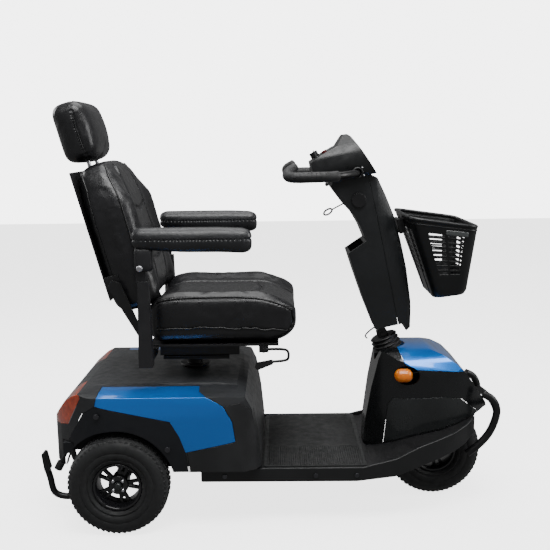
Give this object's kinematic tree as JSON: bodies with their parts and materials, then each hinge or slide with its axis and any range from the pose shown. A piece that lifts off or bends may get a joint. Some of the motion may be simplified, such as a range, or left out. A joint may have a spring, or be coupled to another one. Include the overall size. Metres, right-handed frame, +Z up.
{
  "type": "mobility scooter",
  "caption": "Three-wheel mobility scooter with swivel captain's seat, lift-up armrests, headrest, tilting tiller with wrap-around handlebar, and front basket.",
  "frame": {"origin": "on the floor, at the middle of the overall box", "axes": "+X forward, +Y to the rider's left, +Z up"},
  "size_m": [1.4287, 0.62, 1.262],
  "materials": {
    "frame_paint": "satin black powder coat",
    "gearbox_cast": "cast, dull",
    "motor_paint": "satin black",
    "battery_case": "moulded case",
    "controller_alloy": "black anodised",
    "cover_charcoal": "fine grained charcoal",
    "panel_blue": "metallic blue under clear coat",
    "liner_black": "matt black",
    "panel_grey": "fine grained grey",
    "lamp_red": "moulded lens",
    "arm_paint": "black powder coat",
    "floor_black": "moulded tray",
    "mat_rubber": "ribbed",
    "guard_black": "satin guard strip",
    "cover_black": "satin black",
    "panel_gloss": "dark grey metallic",
    "lamp_amber": "moulded lens",
    "screw_steel": "zinc plated",
    "bearing_steel": "ground",
    "release_steel": "plated rod, black knob",
    "rim_black": "gloss black, plated nuts",
    "tyre_black": "moulded tread",
    "fork_paint": "black powder coat",
    "gaiter_rubber": "folded boot",
    "tiller_steel": "black powder coat",
    "tiller_charcoal": "fine grained charcoal",
    "console_black": "satin black",
    "display_dark": "smoked window",
    "bar_paint": "black powder coat",
    "grip_rubber": "soft grip",
    "cable_black": "cable sheath",
    "lever_chrome": "bright plated",
    "knob_black": "satin black",
    "button_red": "moulded button",
    "basket_plastic": "moulded, slotted",
    "seat_steel": "black powder coat",
    "seat_vinyl": "black vinyl, stitched and piped",
    "post_cover": "textured charcoal",
    "arm_vinyl": "charcoal vinyl"
  },
  "bodies": {
    "chassis": {"main_frame": "frame_paint", "transaxle": "gearbox_cast", "drive_motor": "motor_paint", "batteries": "battery_case", "motor_controller": "controller_alloy", "rear_top_cover": "cover_charcoal", "rear_side_panels": "panel_blue", "wheel_arch_liners": "liner_black", "rear_lower_skirts": "panel_grey", "rear_lamps": "lamp_red", "anti_tip_arms": "arm_paint", "floor_pan": "floor_black", "floor_mat": "mat_rubber", "side_bumpers": "guard_black", "front_cover": "cover_black", "front_side_panels": "panel_gloss", "front_hood": "panel_blue", "indicator_lenses": "lamp_amber", "front_bumper": "arm_paint", "body_screws": "screw_steel", "head_bearings": "bearing_steel"},
    "drive_release": {"drive_release_lever": "release_steel"},
    "rear_wheel_left": {"rear_rim_left": "rim_black", "rear_tyre_left": "tyre_black"},
    "rear_wheel_right": {"rear_rim_right": "rim_black", "rear_tyre_right": "tyre_black"},
    "steering": {"front_fork": "fork_paint", "gaiter": "gaiter_rubber"},
    "front_wheel": {"front_rim": "rim_black", "front_tyre": "tyre_black"},
    "tiller": {"tiller_frame": "tiller_steel", "tiller_rear_cover": "tiller_charcoal", "tiller_front_cover": "tiller_charcoal", "console_housing": "console_black", "display_panel": "display_dark", "handlebar": "bar_paint", "handlebar_grips": "grip_rubber", "basket_bracket": "bar_paint", "tiller_cable": "cable_black"},
    "tiller_lock": {"tiller_lock_lever": "lever_chrome"},
    "speed_dial": {"speed_knob": "knob_black"},
    "key": {"ignition_key": "lever_chrome"},
    "throttle": {"throttle_levers": "knob_black"},
    "horn": {"horn_button": "button_red"},
    "socket_cap": {"charge_cap": "knob_black"},
    "basket": {"basket": "basket_plastic"},
    "post": {"seat_post": "seat_steel"},
    "swivel": {"seat_swivel_plate": "seat_steel"},
    "seat": {"seat_base_frame": "seat_steel", "seat_cushion": "seat_vinyl"},
    "swivel_handle": {"swivel_lever": "knob_black"},
    "slide_handle": {"slide_lever": "knob_black"},
    "back": {"backrest_frame": "seat_steel", "backrest_cushion": "seat_vinyl"},
    "head": {"headrest": "seat_vinyl"},
    "arm_left": {"arm_post_left": "post_cover"},
    "arm_right": {"arm_post_right": "post_cover"},
    "rest_left": {"armrest_left": "arm_vinyl"},
    "rest_right": {"armrest_right": "arm_vinyl"}
  },
  "joints": [
    {"name": "drive_release_pull", "type": "slide", "parent": "chassis", "child": "drive_release", "axis": [-0.4831, 0, -0.8756], "range_m": [0, 0.02]},
    {"name": "rear_wheel_left_spin", "type": "hinge", "parent": "chassis", "child": "rear_wheel_left", "pos_m": [-0.459, 0.2625, 0.15], "axis": [0, 1, 0], "continuous": true},
    {"name": "rear_wheel_right_spin", "type": "hinge", "parent": "chassis", "child": "rear_wheel_right", "pos_m": [-0.459, -0.2625, 0.15], "axis": [0, 1, 0], "continuous": true},
    {"name": "steer", "type": "hinge", "parent": "chassis", "child": "steering", "pos_m": [0.355, 0, 0.5], "axis": [-0.3746, 0, 0.9272], "range_deg": [-32, 32]},
    {"name": "front_wheel_spin", "type": "hinge", "parent": "steering", "child": "front_wheel", "pos_m": [0.508, 0, 0.15], "axis": [0, 1, 0], "continuous": true},
    {"name": "tiller_tilt", "type": "hinge", "parent": "steering", "child": "tiller", "pos_m": [0.34189, 0, 0.53245], "axis": [0, 1, 0], "range_deg": [-12, 15]},
    {"name": "tiller_lock_pull", "type": "hinge", "parent": "tiller", "child": "tiller_lock", "pos_m": [0.27326, 0, 0.97076], "axis": [0, 1, 0], "range_deg": [0, 12], "stiffness_Nm_per_rad": 0.6, "springref_deg": -11.46},
    {"name": "speed_dial_turn", "type": "hinge", "parent": "tiller", "child": "speed_dial", "pos_m": [0.13346, 0, 1.08579], "axis": [-0.5, 0, 0.866], "range_deg": [-135, 135]},
    {"name": "key_turn", "type": "hinge", "parent": "tiller", "child": "key", "pos_m": [0.1352, -0.056, 1.08679], "axis": [-0.5, 0, 0.866], "range_deg": [-90, 0]},
    {"name": "throttle_rock", "type": "hinge", "parent": "tiller", "child": "throttle", "pos_m": [0.17097, 0, 1.02876], "axis": [0, 1, 0], "range_deg": [-15, 15], "stiffness_Nm_per_rad": 0.8},
    {"name": "horn_press", "type": "slide", "parent": "tiller", "child": "horn", "axis": [0.5, 0, -0.866], "range_m": [0, 0.003], "stiffness_N_per_m": 300, "springref_m": -0.002},
    {"name": "socket_cap_turn", "type": "hinge", "parent": "tiller", "child": "socket_cap", "pos_m": [0.25969, -0.075, 0.95765], "axis": [0, -1, 0], "range_deg": [0, 90]},
    {"name": "basket_lift_off", "type": "slide", "parent": "tiller", "child": "basket", "axis": [-0.2079, 0, 0.9781], "range_m": [0, 0.08]},
    {"name": "seat_height", "type": "slide", "parent": "chassis", "child": "post", "axis": [0, 0, 1], "range_m": [0, 0.05]},
    {"name": "seat_swivel", "type": "hinge", "parent": "post", "child": "swivel", "pos_m": [-0.255, 0, 0.48], "axis": [0, 0, 1], "range_deg": [-90, 90]},
    {"name": "seat_slide", "type": "slide", "parent": "swivel", "child": "seat", "axis": [1, 0, 0], "range_m": [-0.05, 0.075]},
    {"name": "swivel_lever_pull", "type": "hinge", "parent": "seat", "child": "swivel_handle", "pos_m": [-0.03, -0.215, 0.5365], "axis": [0, -1, 0], "range_deg": [0, 12], "stiffness_Nm_per_rad": 1.2, "springref_deg": -17.19},
    {"name": "slide_lever_pull", "type": "hinge", "parent": "seat", "child": "slide_handle", "pos_m": [-0.07, 0.19, 0.5325], "axis": [0, 0, 1], "range_deg": [0, 10], "stiffness_Nm_per_rad": 1.2},
    {"name": "back_fold", "type": "hinge", "parent": "seat", "child": "back", "pos_m": [-0.455, 0, 0.7285], "axis": [0, 1, 0], "range_deg": [-15, 50]},
    {"name": "headrest_height", "type": "slide", "parent": "back", "child": "head", "axis": [-0.2588, 0, 0.9659], "range_m": [0, 0.06]},
    {"name": "arm_width_left", "type": "slide", "parent": "seat", "child": "arm_left", "axis": [0, 1, 0], "range_m": [0, 0.04]},
    {"name": "arm_width_right", "type": "slide", "parent": "seat", "child": "arm_right", "axis": [0, -1, 0], "range_m": [0, 0.04]},
    {"name": "arm_lift_left", "type": "hinge", "parent": "arm_left", "child": "rest_left", "pos_m": [-0.37, 0.272, 0.7905], "axis": [0, -1, 0], "range_deg": [0, 90]},
    {"name": "arm_lift_right", "type": "hinge", "parent": "arm_right", "child": "rest_right", "pos_m": [-0.37, -0.272, 0.7905], "axis": [0, -1, 0], "range_deg": [0, 90]}
  ]
}
